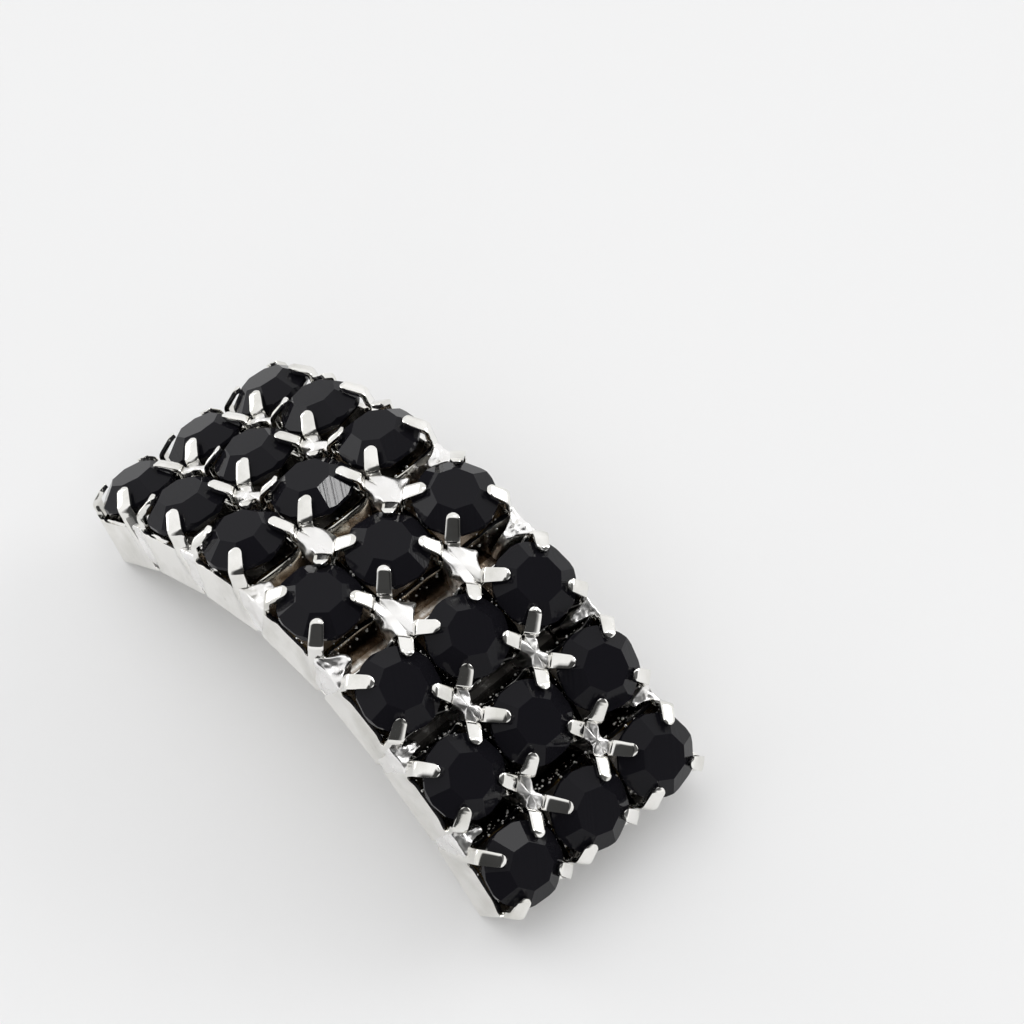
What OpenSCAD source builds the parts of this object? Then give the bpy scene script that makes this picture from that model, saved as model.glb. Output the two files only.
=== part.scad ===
// Arched ribbon slider: cut stones in claw cups, seven columns by three rows,
// soldered to a bent back plate with a bar behind it for the ribbon.
// Columns run along X and rows along Y. It stands on its two end edges at z = 0.

/* [Arch] */
// Distance from one column of cups to the next, along the arch
column_pitch = 5; // [4.9:0.05:5.2]
// Distance from one row of cups to the next, across the arch
row_pitch = 4.8; // [4.8:0.05:5]
// Bend between the middle column and each neighbour, in degrees
crest_bend = 21.5; // [20:0.5:23]
// Bend at each of the other joints between columns, in degrees
side_bend = 10.5; // [9:0.5:11.5]

/* [Stone] */
// Diameter of a stone across its girdle
stone_d = 4.65; // [4.5:0.05:4.7]
// Distance across the flats of its eight-sided table
table_w = 2.44; // [2.2:0.02:2.6]
// Height of the table above the underside of the cup
table_h = 4.9; // [4.7:0.05:5.1]
// Height of the top of the girdle
girdle_h = 3.95; // [3.85:0.05:4]
// Thickness of the girdle
girdle_t = 0.2; // [0.1:0.05:0.3]
// Height of the tip of the pointed back
culet_h = 1.8; // [1.6:0.1:2]

/* [Cup] */
// Width of a cup at its foot
cup_w = 4.7; // [4.6:0.05:4.75]
// Width of a cup at the top of its corner posts
cup_top_w = 3.9; // [3.8:0.05:4]
// Height of the corner posts
post_h = 3.65; // [3.55:0.05:3.7]
// Thickness of the cup's sheet metal
wall = 0.3; // [0.25:0.05:0.35]
// Height of the lowest point of the window in each side
window_h = 2.8; // [2.65:0.05:2.85]
// Width of the window in each side
window_w = 3; // [2.8:0.05:3]
// Radius of the two lower corners of the window
window_r = 0.7; // [0.5:0.05:0.8]
// Clearance between a stone and the metal round it
seat_gap = 0.07; // [0.06:0.01:0.1]

/* [Claws] */
// Width of a claw
claw_w = 0.85; // [0.7:0.05:0.9]
// Thickness of a claw
claw_t = 0.3; // [0.25:0.05:0.35]
// Length of a claw over the crown, measured from the girdle
claw_reach = 1.1; // [0.9:0.05:1.15]

/* [Back] */
// Thickness of the sheet that joins the undersides of the cups
sheet_t = 0.3; // [0.25:0.05:0.3]
// Thickness of the back plate
plate_t = 0.5; // [0.4:0.05:0.7]
// Width of the back plate
plate_w = 12.7; // [12:0.1:13.2]
// Width of the ribbon bar
bar_w = 2.8; // [2.4:0.1:3.2]
// Thickness of the ribbon bar
bar_t = 0.8; // [0.7:0.05:0.9]
// Clear height of the ribbon bar above the ground
bar_rise = 1.25; // [1.1:0.05:1.4]
// Radius of the rounded end of the ribbon opening
web_r = 1; // [0.8:0.05:1.1]

/* [Hidden] */
$fn = 64;

columns = 7;
rows = 3;
crest = 4;
metal_colour = "gainsboro";
stone_colour = "#141416";

// Half the corner angle of an octagon, which is what its corners add to its flats
octagon_turn = 22.5;
stone_r = stone_d / 2;
table_r = table_w / 2;
// The flats of the eight-sided outline lie just inside the round girdle
flat_inset = 0.045;
flat_r = stone_r - flat_inset;
culet_r = 0.12;

// Overlap that sinks one soldered piece into the next
lap = 0.15;
// Height of the floor inside a cup, on top of the sheet
cup_floor = sheet_t + 0.05;
// Slot at the foot of the outer side of an end cup
slot_w = 2.7;
slot_t = 0.53;
slot_h = cup_floor + 0.07;
sheet_w = (rows - 1) * row_pitch + cup_w;
// Round seat cut into the corner posts, down to just above the bottom of the windows
seat_r = stone_r + seat_gap;
seat_h = window_h + window_r - 0.1;
// Inner and outer faces of a claw's upright part, the height of its foot inside the
// post, and the cut across its outer elbow
claw_in = seat_r + 0.005;
claw_out = claw_in + claw_t;
claw_foot = post_h - 0.6;
elbow_cut = 0.2;
// Length of the back plate beyond the joint of each end column
plate_end = 0.9;
// Length of each extrusion that is cut to its shape by another one
reach = 20;

// Lean of a column away from the upright, towards +X
function lean(col) =
    col == crest ? 0 :
    col > crest ? crest_bend + (col - crest - 1) * side_bend : -lean(columns + 1 - col);

function along(angle) = [cos(angle), -sin(angle)];
function outward(angle) = [sin(angle), cos(angle)];

// Joint i of the line of cup undersides, in X and Z, measured from its crest.
// The first and last are its two ends, at the outer sides of the end cups.
function joint_from_crest(i) =
    i == crest ? [column_pitch / 2, 0] :
    i == columns ? joint_from_crest(i - 1) + (column_pitch + cup_w) / 2 * along(lean(i)) :
    i > crest ? joint_from_crest(i - 1) + column_pitch * along(lean(i)) :
    [-joint_from_crest(columns - i).x, joint_from_crest(columns - i).y];

arch_h = -joint_from_crest(columns).y;
function joint(i) = joint_from_crest(i) + [0, arch_h];
function column_centre(col) =
    col < crest ? [-column_centre(columns + 1 - col).x, column_centre(columns + 1 - col).y] :
    joint(col - 1) + column_pitch / 2 * along(lean(col));

// Joint i moved out by h, with a mitre where two columns meet
function mitre(i, h) =
    let (a = i == 0 ? lean(1) : lean(i), b = i == columns ? lean(columns) : lean(i + 1))
    joint(i) + outward((a + b) / 2) * h / cos((b - a) / 2);

// Line of the crown's ridges, from the girdle to the table, as radius and height
ridge_foot = [
    stone_r,
    girdle_h + (flat_r - stone_r * cos(octagon_turn)) / (flat_r - table_r) * (table_h - girdle_h)
];
ridge_top = [table_r / cos(octagon_turn), table_h];
ridge_dir = (ridge_top - ridge_foot) / norm(ridge_top - ridge_foot);
ridge_out = [ridge_dir.y, -ridge_dir.x];

// Point a distance up the ridge and a distance out from it
function over_crown(up, out) = ridge_foot + up * ridge_dir + out * ridge_out;
// Distance up the ridge at which a line that lies out from it has radius r
function up_at(r, out) = (r - over_crown(0, out).x) / ridge_dir.x;

// Centre of the rounded end of the ribbon opening, against the bar and the plate
bar_top = bar_rise + bar_t;
web_col = columns - 1;
web_sink = 0.02;
web_corner = mitre(web_col - 1, -plate_t);
web_z = bar_top + web_r - web_sink;
web_x = web_corner.x
    + (web_corner.y - web_z - (web_r - web_sink) / cos(lean(web_col))) / tan(lean(web_col));

// Lays its children in the XZ plane and gives them a width along Y
module across(width) {
    rotate([90, 0, 0]) linear_extrude(width, center = true) children();
}

module place(row, col) {
    translate([column_centre(col).x, (row - 2) * row_pitch, column_centre(col).y])
        rotate([0, lean(col), 0]) children();
}

// Strip of the arch between two distances from the line of cup undersides
module arch_strip(low, high) {
    polygon(concat(
        [for (i = [0 : columns]) mitre(i, high)],
        [for (i = [columns : -1 : 0]) mitre(i, low)]
    ));
}

// Half the outer width of a cup at a height
function cup_r_at(h) = (cup_w + (cup_top_w - cup_w) * h / post_h) / 2;

// Square frustum that lies a distance inside the cup's four sides
module frustum(foot_h, top_h, inset) {
    foot = cup_r_at(foot_h) - inset;
    top = cup_r_at(top_h) - inset;
    intersection_for (turn = [0, 90]) rotate(turn) across(reach)
        polygon([[-foot, foot_h], [foot, foot_h], [top, top_h], [-top, top_h]]);
}

module window_outline() {
    side = window_w / 2 - window_r;
    translate([-side, window_h]) square([2 * side, reach]);
    translate([-window_w / 2, window_h + window_r]) square([window_w, reach]);
    for (x = [-side, side]) translate([x, window_h + window_r]) circle(window_r);
}

module claw() {
    tip_r = claw_w / 2;
    tip_x = over_crown(claw_reach, seat_gap).x + tip_r;
    rotate(45) intersection() {
        across(claw_w) polygon([
            [claw_in, claw_foot],
            [claw_in, over_crown(up_at(claw_in, seat_gap), seat_gap).y],
            over_crown(claw_reach, seat_gap),
            over_crown(claw_reach, seat_gap + claw_t),
            over_crown(up_at(claw_out, seat_gap + claw_t) + elbow_cut, seat_gap + claw_t),
            [claw_out, over_crown(up_at(claw_out, seat_gap + claw_t), seat_gap + claw_t).y - elbow_cut],
            [claw_out, claw_foot]
        ]);
        linear_extrude(reach) {
            translate([tip_x, 0]) circle(tip_r);
            translate([tip_x, -claw_w]) square([reach, 2 * claw_w]);
        }
    }
}

// One cup, standing on the sheet. slot_side is 1 or -1 on an end column, where
// the outer side has a slot at its foot, and 0 elsewhere.
module cup(slot_side) {
    difference() {
        frustum(lap, post_h, 0);
        frustum(cup_floor, 2 * post_h, wall);
        for (turn = [0, 90]) rotate(turn) across(reach) window_outline();
        translate([0, 0, seat_h]) cylinder(h = reach, r = seat_r);
        if (slot_side != 0)
            translate([slot_side * cup_w / 2, 0, slot_h + slot_t / 2])
                cube([4 * wall, slot_w, slot_t], center = true);
    }
    for (turn = [0 : 90 : 270]) rotate(turn) claw();
}

module back_plate() {
    end_r = plate_w / 2;
    end_x = joint(columns - 1).x + plate_end - end_r;
    intersection() {
        across(plate_w) arch_strip(-plate_t, lap);
        union() {
            translate([-end_x, -end_r, 0]) cube([2 * end_x, plate_w, reach]);
            for (x = [-end_x, end_x]) translate([x, 0, 0]) cylinder(h = reach, r = end_r);
        }
    }
}

module ribbon_bar() {
    intersection() {
        translate([0, 0, bar_rise + bar_t / 2]) rotate([90, 0, 90])
            linear_extrude(2 * joint(columns).x, center = true) {
                square([bar_w - bar_t, bar_t], center = true);
                for (y = [-1, 1]) translate([y * (bar_w - bar_t) / 2, 0]) circle(bar_t / 2);
            }
        across(2 * bar_w) polygon([for (i = [0 : columns]) mitre(i, lap)]);
    }
}

// Fills the sharp corner between the bar and the plate, up to the rounded end
module web() {
    across(bar_w - bar_t) difference() {
        polygon([
            [web_x, bar_rise + bar_t / 2],
            [web_x, web_z],
            [web_x, web_z] + outward(lean(web_col)) * (web_r + plate_t / 2),
            mitre(web_col, -plate_t / 2),
            mitre(web_col, -plate_t / 2) + along(lean(columns)) * column_pitch / 4,
            [joint(columns - 1).x + column_pitch / 8, bar_rise + bar_t / 2]
        ]);
        translate([web_x, web_z]) circle(web_r);
    }
}

module slider_frame() {
    color(metal_colour) {
        across(sheet_w) arch_strip(0, sheet_t);
        for (row = [1 : rows], col = [1 : columns])
            place(row, col) cup(col == 1 ? -1 : col == columns ? 1 : 0);
        back_plate();
        ribbon_bar();
        web();
        mirror([1, 0, 0]) web();
    }
}

// Turn of a stone's facets about its axis, so that no two neighbours match
function facet_turn(row, col) = (32 * row + 27 * col) % 45;

module stone(row, col) {
    color(stone_colour) place(row, col) rotate(facet_turn(row, col)) intersection() {
        intersection_for (turn = [0 : 45 : 135]) rotate(turn) across(reach) polygon([
            [-culet_r, culet_h], [culet_r, culet_h],
            [flat_r, girdle_h - girdle_t], [flat_r, girdle_h],
            [table_r, table_h], [-table_r, table_h],
            [-flat_r, girdle_h], [-flat_r, girdle_h - girdle_t]
        ]);
        cylinder(h = reach, r = stone_r);
    }
}

slider_frame();
stone(1, 1);  // stone_a1
stone(1, 2);  // stone_a2
stone(1, 3);  // stone_a3
stone(1, 4);  // stone_a4
stone(1, 5);  // stone_a5
stone(1, 6);  // stone_a6
stone(1, 7);  // stone_a7
stone(2, 1);  // stone_b1
stone(2, 2);  // stone_b2
stone(2, 3);  // stone_b3
stone(2, 4);  // stone_b4
stone(2, 5);  // stone_b5
stone(2, 6);  // stone_b6
stone(2, 7);  // stone_b7
stone(3, 1);  // stone_c1
stone(3, 2);  // stone_c2
stone(3, 3);  // stone_c3
stone(3, 4);  // stone_c4
stone(3, 5);  // stone_c5
stone(3, 6);  // stone_c6
stone(3, 7);  // stone_c7
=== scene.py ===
"""Dresses the arched ribbon slider: claw cups, solder, back plate, ribbon bar, stones and stage."""

import math

import bmesh
import bpy
from mathutils import Matrix, Vector, noise
from mathutils.bvhtree import BVHTree


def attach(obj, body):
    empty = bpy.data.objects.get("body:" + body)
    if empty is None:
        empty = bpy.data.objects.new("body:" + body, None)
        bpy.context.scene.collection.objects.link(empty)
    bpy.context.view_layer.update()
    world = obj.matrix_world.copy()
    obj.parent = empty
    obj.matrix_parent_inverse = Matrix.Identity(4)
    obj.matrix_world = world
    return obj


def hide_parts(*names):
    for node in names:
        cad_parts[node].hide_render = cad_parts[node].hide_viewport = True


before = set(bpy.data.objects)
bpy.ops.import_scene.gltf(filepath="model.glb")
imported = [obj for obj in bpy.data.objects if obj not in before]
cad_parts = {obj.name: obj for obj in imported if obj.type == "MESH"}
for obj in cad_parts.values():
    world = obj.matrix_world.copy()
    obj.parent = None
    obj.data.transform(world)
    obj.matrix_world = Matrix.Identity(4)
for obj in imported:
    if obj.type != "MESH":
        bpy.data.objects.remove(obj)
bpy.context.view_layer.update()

bl_info = {
    "name": "Rhinestone ribbon slider",
    "version": (1, 0, 0),
    "blender": (4, 5, 0),
    "location": "3D Viewport > Sidebar > Slider",
    "description": "Claw cups, solder, back plate, ribbon bar, cut stones and a pale stage",
    "category": "Add Mesh",
}

MM = 0.001
COLUMNS = 7
ROWS = 3
CREST = 4
FRAME_NODE = "slider_frame"
DEPTH = "crevice"
RIM = "rim"
SHEET_PIECES = ("claw_cups", "base_sheet", "back_plate", "ribbon_bar", "bar_webs")
SOLDER_PIECES = ("solder_seams", "solder_edges")
ACROSS = (-1, -0.5, 0, 0.5, 1)

# Places and lengths in millimetres

SEAM_Y = 2.4  # seams between the rows
CREST_X = 4  # how far the calmer solder beside the middle column reaches
CREST_SHADE_AND_GRIME_X = 4.5  # how far the brown residue and painted shade there reach
CLAW_ROOT_H = 2.6  # lower end of the claws
RIM_H = 2.75  # middle of a cup's rim
RIM_HALF = 0.4  # how far a rim reaches up and down
RAY_LENGTH = 4  # rays that measure the crevices

# Counts and shares

RAYS = 14  # rays from each vertex
SHADE_AND_GRIME_FROM = 0.76  # blocked rays from which painted shade and residue show, of all
STRIP_FOOT = 0.16  # width of a cup's corner strip at its foot, of a claw's
NEAR_WEB = 0.35  # webs towards -Y beside the middle column, of those towards +Y


# Settings

def length(name, description, millimetres):
    """A length property whose default is given in millimetres."""
    return bpy.props.FloatProperty(
        name=name, description=description, default=millimetres * MM, min=0,
        unit="LENGTH", precision=5
    )


def angle(name, description, degrees):
    """An angle property whose default is given in degrees."""
    return bpy.props.FloatProperty(
        name=name, description=description, default=math.radians(degrees), subtype="ANGLE"
    )


def colour(name, description, red, green, blue):
    """A colour property."""
    return bpy.props.FloatVectorProperty(
        name=name, description=description, default=(red, green, blue), subtype="COLOR",
        size=3, min=0, max=1
    )


def amount(name, description, default):
    """A plain number from 0 to 1."""
    return bpy.props.FloatProperty(
        name=name, description=description, default=default, min=0, max=1, subtype="FACTOR"
    )


class SliderArch(bpy.types.PropertyGroup):
    """The bent line of cup undersides and the grid of cups on it."""

    column_pitch: length("Column pitch", "Distance between columns of cups along the arch", 5)
    row_pitch: length("Row pitch", "Distance between rows of cups across the arch", 4.8)
    crest_bend: angle("Crest bend", "Bend beside the middle column", 21.5)
    side_bend: angle("Side bend", "Bend at each other joint", 10.5)


class SliderCup(bpy.types.PropertyGroup):
    """One claw cup."""

    foot: length("Foot width", "Width of a cup at its foot", 4.7)
    top: length("Top width", "Width of a cup at the top of its walls", 4.2)
    post: length("Post height", "Height at which the top width is measured", 3.65)
    wall: length("Wall", "Thickness of the sheet metal", 0.28)
    foot_round: length("Foot rounding", "Radius of the edges under a cup", 0.24)
    sill: length("Window sill", "Height of the lowest point of the windows", 2.8)
    sill_half: length("Sill half width", "Half the flat width of a window's sill", 0.8)
    window_top: length("Window top", "Height at which a window meets the claws", 3.5)
    slot_low: length("Slot bottom", "Lower edge of the slot in an end cup's outer wall", 0.42)
    slot_high: length("Slot top", "Upper edge of the slot in an end cup's outer wall", 0.95)
    claw_half: length("Claw half width", "Half the width of a claw", 0.41)
    claw_out: length("Claw distance", "Distance of a claw's outer face from the cup's axis", 2.95)
    claw_reach: length("Claw reach", "Length of a claw over the crown", 1.1)
    clearance: length("Clearance", "Gap between a stone and the metal", 0.07)
    taper: amount("Claw taper", "How much narrower a claw is at its tip", 0.1)
    elbow: length("Elbow radius", "Outer radius of a claw's bend", 0.5)
    elbow_h: length("Elbow height", "Height at which a claw's upright and its arm would meet", 4.2)
    curl: length("Tip curl", "How far a claw's tip bends down to the stone", 0.12)
    edge: length("Edge rounding", "Rounding of the sheet's edges", 0.12)
    wander: length("Claw wander", "How far claw tips stand sideways from their true place", 0.13)
    stretch: length("Claw stretch", "How far the claws differ in length", 0.12)
    seed: bpy.props.IntProperty(name="Seed", description="Seed of the claws' variation", default=7)


class SliderSolder(bpy.types.PropertyGroup):
    """The solder between the cups."""

    top: length("Top", "Height of the solder between four cups", 3.95)
    crest_top: length("Top at the crest", "The same beside the middle column", 3.85)
    edge_top: length("Edge top", "Height of the solder on the long sides", 3.15)
    hollow: amount("Hollow", "How far the solder's sides draw in", 0.45)
    crest_hollow: amount("Hollow at the crest", "The same beside the middle column", 0.5)
    crest_web: length("Web at the crest", "How far solder runs along the seam there", 1.7)
    grain: length("Grain", "Radius of the largest solder grain", 0.11)
    grains: bpy.props.FloatProperty(
        name="Grains", description="Grains on a square metre", default=1.2e7
    )
    swell: length("Swell", "How far the solder's middle stands up", 0.12)
    sag: length("Sag", "How far the solder's upper edge sinks between claws", 0.15)
    lump: length("Lumps", "How uneven the solder is", 0.09)
    inward: length("Inward", "How far solder runs in from the long sides", 2)


class SliderStone(bpy.types.PropertyGroup):
    """The cut stones, as the solids have them."""

    radius: length("Radius", "Radius of the girdle", 2.325)
    flat: length("Flat", "Distance of the girdle's flats from the axis", 2.28)
    table: length("Table", "Distance of the table's sides from the axis", 1.22)
    table_h: length("Table height", "Height of the table above the cup's underside", 4.9)
    girdle_h: length("Girdle height", "Height of the girdle's upper edge", 3.95)
    girdle_t: length("Girdle thickness", "Thickness of the girdle", 0.2)


class SliderBack(bpy.types.PropertyGroup):
    """The parts behind the cups."""

    sheet_low: length("Sheet bottom", "Height of the sheet's underside in a cup", 0.04)
    sheet_high: length("Sheet top", "Height of the sheet's upper side in a cup", 0.32)
    sheet_inset: length("Sheet inset", "Distance of the sheet's edge inside the cups", 0.16)
    plate: length("Plate thickness", "Thickness of the back plate", 0.5)
    plate_width: length("Plate width", "Width of the back plate", 12.7)
    plate_end: length("Plate end", "Length of the plate past the last joint", 0.9)
    bar_width: length("Bar width", "Width of the ribbon bar", 2.8)
    bar: length("Bar thickness", "Thickness of the ribbon bar", 0.8)
    bar_rise: length("Bar rise", "Height of the bar's underside above the ground", 1.25)
    web: length("Opening corner", "Radius of the ribbon opening's ends", 1)


class SliderFinish(bpy.types.PropertyGroup):
    """Colours and gloss."""

    plate: colour("Plating", "Bright plating of the cups", 0.93, 0.92, 0.89)
    plate_shade: colour("Plating shade", "Plating where it is duller", 0.7, 0.69, 0.645)
    solder: colour("Solder", "Solder between the cups", 0.95, 0.94, 0.93)
    tarnish: colour("Tarnish", "Brown specks at the soldered seams", 0.20, 0.14, 0.09)
    glass: colour("Glass", "Black glass of the stones", 0.0078, 0.0075, 0.0098)
    foil: colour("Foil", "Gold foil behind the stones", 0.16, 0.105, 0.035)
    foil_shade: colour("Foil shade", "Foil where it is worn", 0.03, 0.02, 0.01)
    # Painted shade in the hidden gaps, partly real residue: nearly black away from the crest, brown
    # beside it
    gap_shade_and_grime: colour("Grime", "Dark tone in the gaps between the cups", 0.045, 0.036, 0.03)
    crest_shade_and_grime: colour("Grime at the crest", "The same beside the middle column", 0.24, 0.165, 0.1)
    gloss: amount("Plating roughness", "Roughness of the bright plating", 0.06)
    satin: amount("Back roughness", "Roughness of the back plate", 0.2)


class SliderStage(bpy.types.PropertyGroup):
    """Floor, light and camera."""

    floor: colour("Floor", "Pale floor", 0.86, 0.86, 0.862)
    azimuth: angle("Azimuth", "Turn of the camera about the object", 47.63)
    elevation: angle("Elevation", "Height of the camera above the horizon", 57.85)
    distance: length("Distance", "Distance of the camera", 200)
    aim_height: length("Aim height", "Height of the point that the camera's distance is from", 6)
    right: length("Shift right", "How far the camera stands to the right of that point", 6.57)
    up: length("Shift up", "How far the camera stands above that point", 5.02)
    lens: bpy.props.FloatProperty(
        name="Lens", description="Focal length in millimetres", default=129.35, min=1
    )


# Nodes

def maths(operation, swapped=False):
    """A method that adds one Math node on its object and another value."""
    def method(self, other):
        pair = (other, self) if swapped else (self, other)
        return self.graph.math(operation, *pair)
    return method


class Value:
    """A node's output that Python's operators work on, each adding a Math node."""

    def __init__(self, graph, socket):
        self.graph, self.socket = graph, socket

    __add__ = maths("ADD")
    __radd__ = maths("ADD", swapped=True)
    __sub__ = maths("SUBTRACT")
    __rsub__ = maths("SUBTRACT", swapped=True)
    __mul__ = maths("MULTIPLY")
    __truediv__ = maths("DIVIDE")
    __pow__ = maths("POWER")
    __gt__ = maths("GREATER_THAN")
    __lt__ = maths("LESS_THAN")

    def __abs__(self):
        return self.graph.math("ABSOLUTE", self)


class Graph:
    """A node tree that is written as calls and expressions."""

    def __init__(self, tree):
        self.tree = tree

    def node(self, kind, settings=None, inputs=None):
        """Adds a node, sets it up, then fills or links its inputs."""
        made = self.tree.nodes.new(kind)
        for name, value in (settings or {}).items():
            if name == "stops":
                ramp = made.color_ramp.elements
                while len(ramp) < len(value):
                    ramp.new(1)
                for stop, (position, shade) in zip(ramp, value):
                    stop.position, stop.color = position, (shade, shade, shade, 1)
            else:
                setattr(made, name, value)
        self.fill(made, inputs or {})
        return made

    def fill(self, node, inputs):
        """Fills or links a node's inputs."""
        for name, value in inputs.items():
            if isinstance(value, Value):
                self.tree.links.new(value.socket, node.inputs[name])
            else:
                node.inputs[name].default_value = value

    def get(self, kind, settings=None, inputs=None, output=0):
        """Adds a node and gives one of its outputs."""
        return Value(self, self.node(kind, settings, inputs).outputs[output])

    def math(self, operation, *values):
        """One Math node."""
        return self.get("ShaderNodeMath", {"operation": operation}, dict(enumerate(values)))

    def clamp(self, value):
        """A value held between 0 and 1."""
        return self.get("ShaderNodeClamp", None, {"Value": value})

    def vector(self, operation, first, second=(0, 0, 0), output="Vector"):
        """One Vector Math node on one or two vectors."""
        return self.get("ShaderNodeVectorMath", {"operation": operation},
                        {0: first, 1: second}, output)

    def xyz(self, **axes):
        """A vector from the axes given."""
        return self.get("ShaderNodeCombineXYZ", None, axes)

    def random(self, low, high, seed, **more):
        """A random number between two numbers."""
        return self.get("FunctionNodeRandomValue", {"data_type": "FLOAT"},
                        {2: low, 3: high, "Seed": seed, **more}, 1)

    def bump(self, strength, distance, height):
        """A normal that a height bends."""
        return self.get("ShaderNodeBump", None, {
            "Strength": strength, "Distance": distance, "Height": height
        })

    def field(self, name, kind):
        """A stored attribute, for Geometry Nodes."""
        return self.get("GeometryNodeInputNamedAttribute", {"data_type": kind}, {"Name": name})

    def noise(self, place, scale, detail, roughness=0.5):
        """Noise from 0 to 1 at a place."""
        return self.get("ShaderNodeTexNoise", None, {
            "Vector": place, "Scale": scale, "Detail": detail, "Roughness": roughness
        })

    def ramp(self, value, *stops):
        """A grey ramp over a value."""
        return self.get("ShaderNodeValToRGB", {"stops": stops}, {"Fac": value})

    def mix(self, factor, first, second):
        """A colour between two colours."""
        return self.get("ShaderNodeMix", {"data_type": "RGBA"},
                        {0: factor, 6: first, 7: second}, 2)


def rgba(value):
    """A colour with full alpha."""
    return (*value, 1)


# Arch and meshes

class Arch:
    """Where the cups stand, in the XZ plane, from the same rule as the solids."""

    def __init__(self, scene):
        sizes = scene.slider_arch
        self.pitch, self.row_pitch = sizes.column_pitch, sizes.row_pitch
        self.crest_bend, self.side_bend = sizes.crest_bend, sizes.side_bend
        self.foot = scene.slider_cup.foot
        self.joints = {CREST: Vector((self.pitch / 2, 0))}
        for joint in range(CREST + 1, COLUMNS + 1):
            step = self.pitch if joint < COLUMNS else (self.pitch + self.foot) / 2
            self.joints[joint] = self.joints[joint - 1] + step * self.along(self.lean(joint))
        for joint in range(CREST):
            far = self.joints[COLUMNS - joint]
            self.joints[joint] = Vector((-far.x, far.y))
        rise = -self.joints[COLUMNS].y
        for joint in self.joints.values():
            joint.y += rise

    def lean(self, column):
        """Lean of a column towards +X."""
        if column == CREST:
            return 0.0
        if column < CREST:
            return -self.lean(COLUMNS + 1 - column)
        return self.crest_bend + (column - CREST - 1) * self.side_bend

    def along(self, turn):
        """Direction along the arch."""
        return Vector((math.cos(turn), -math.sin(turn)))

    def outward(self, turn):
        """Direction out of the arch."""
        return Vector((math.sin(turn), math.cos(turn)))

    def centre(self, column):
        """Middle of a column's underside."""
        if column < CREST:
            far = self.centre(COLUMNS + 1 - column)
            return Vector((-far.x, far.y))
        return self.joints[column - 1] + self.pitch / 2 * self.along(self.lean(column))

    def height(self, point):
        """Height of a point above the underside of the column that it is nearest to."""
        offsets = [(Vector((point.x, point.z)) - self.centre(column), self.lean(column))
                   for column in range(1, COLUMNS + 1)]
        offset, turn = min(offsets, key=lambda pair: abs(pair[0].dot(self.along(pair[1]))))
        return offset.dot(self.outward(turn))

    def joint_turn(self, joint):
        """Half way between the leans on both sides of a joint."""
        return (self.lean(max(joint, 1)) + self.lean(min(joint + 1, COLUMNS))) / 2

    def mitre(self, joint, height):
        """A joint moved out by a height."""
        half = (self.lean(min(joint + 1, COLUMNS)) - self.lean(max(joint, 1))) / 2
        return self.joints[joint] + self.outward(self.joint_turn(joint)) * height / math.cos(half)

    def at(self, along):
        """Point, and turn, at a signed distance along the arch's underside from its crest."""
        column = CREST
        side = 1 if along >= 0 else -1
        rest = abs(along)
        while rest > self.pitch / 2 and column < COLUMNS:
            rest -= self.pitch
            column += 1
        turn = self.lean(column)
        point = self.centre(column) + rest * self.along(turn)
        return Vector((side * point.x, point.y)), side * turn


def smooth(value):
    """Smooth step from 0 to 1."""
    value = min(max(value, 0), 1)
    return value * value * (3 - 2 * value)


def linked(name, data):
    """Puts a new object in the scene."""
    made = bpy.data.objects.new(name, data)
    bpy.context.scene.collection.objects.link(made)
    return made


def smooth_faces(mesh):
    """Shades all faces of a mesh smooth."""
    mesh.polygons.foreach_set("use_smooth", [True] * len(mesh.polygons))


def mesh_object(name, bm):
    """Makes an object of a bmesh, with smooth faces that point outwards."""
    bmesh.ops.remove_doubles(bm, verts=bm.verts, dist=1e-6)
    bmesh.ops.recalc_face_normals(bm, faces=bm.faces)
    mesh = bpy.data.meshes.new(name)
    bm.to_mesh(mesh)
    bm.free()
    smooth_faces(mesh)
    return linked(name, mesh)


def baked(source, name):
    """A plain mesh of an object with its modifiers applied, in place of the object."""
    bpy.context.view_layer.update()
    evaluated = source.evaluated_get(bpy.context.evaluated_depsgraph_get())
    mesh = bpy.data.meshes.new_from_object(evaluated)
    made = linked(name, mesh)
    bpy.data.objects.remove(source, do_unlink=True)
    mesh.name = name
    return made


def grown(name, tree, values):
    """A plain mesh that a Geometry Nodes tree makes of named values."""
    carrier = mesh_object(f"{name}_points", bmesh.new())
    modifier = carrier.modifiers.new(tree.name, "NODES")
    modifier.node_group = tree
    for item in tree.interface.items_tree:
        if item.in_out == "INPUT":
            modifier[item.identifier] = values[item.name]
    made = baked(carrier, name)
    if not made.data.polygons:
        raise RuntimeError(f"{name} has no faces")
    return made


def grid_faces(bm, rows, closed=False, keep=None):
    """Joins rows of vertices with quads. keep(row, column) may leave some out."""
    for r in range(len(rows) - 1):
        count = len(rows[r])
        for c in range(count if closed else count - 1):
            if keep and not keep(r, c):
                continue
            near, far = rows[r], rows[r + 1]
            corners = [near[c], near[(c + 1) % count], far[(c + 1) % count], far[c]]
            corners = [v for i, v in enumerate(corners) if v not in corners[:i]]
            if len(corners) > 2 and not bm.faces.get(corners):
                bm.faces.new(corners)


def finish_piece(piece, material):
    """Gives a finished metal piece its material and body, and hides the frame's solid."""
    piece.data.materials.clear()
    piece.data.materials.append(material)
    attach(piece, "root")
    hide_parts(FRAME_NODE)


def round_edges(piece, width, segments, limit):
    """Rounds edges sharper than a limit in degrees with a Bevel modifier."""
    bevel = piece.modifiers.new("Rounded edges", "BEVEL")
    bevel.width = width
    bevel.segments = segments
    bevel.limit_method = "ANGLE"
    bevel.angle_limit = math.radians(limit)
    bevel.use_clamp_overlap = True


# Metal

def new_material(name):
    """A material, the graph of its nodes and its main shader."""
    material = bpy.data.materials.new(name)
    material.use_nodes = True
    return material, Graph(material.node_tree), material.node_tree.nodes["Principled BSDF"]


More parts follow.
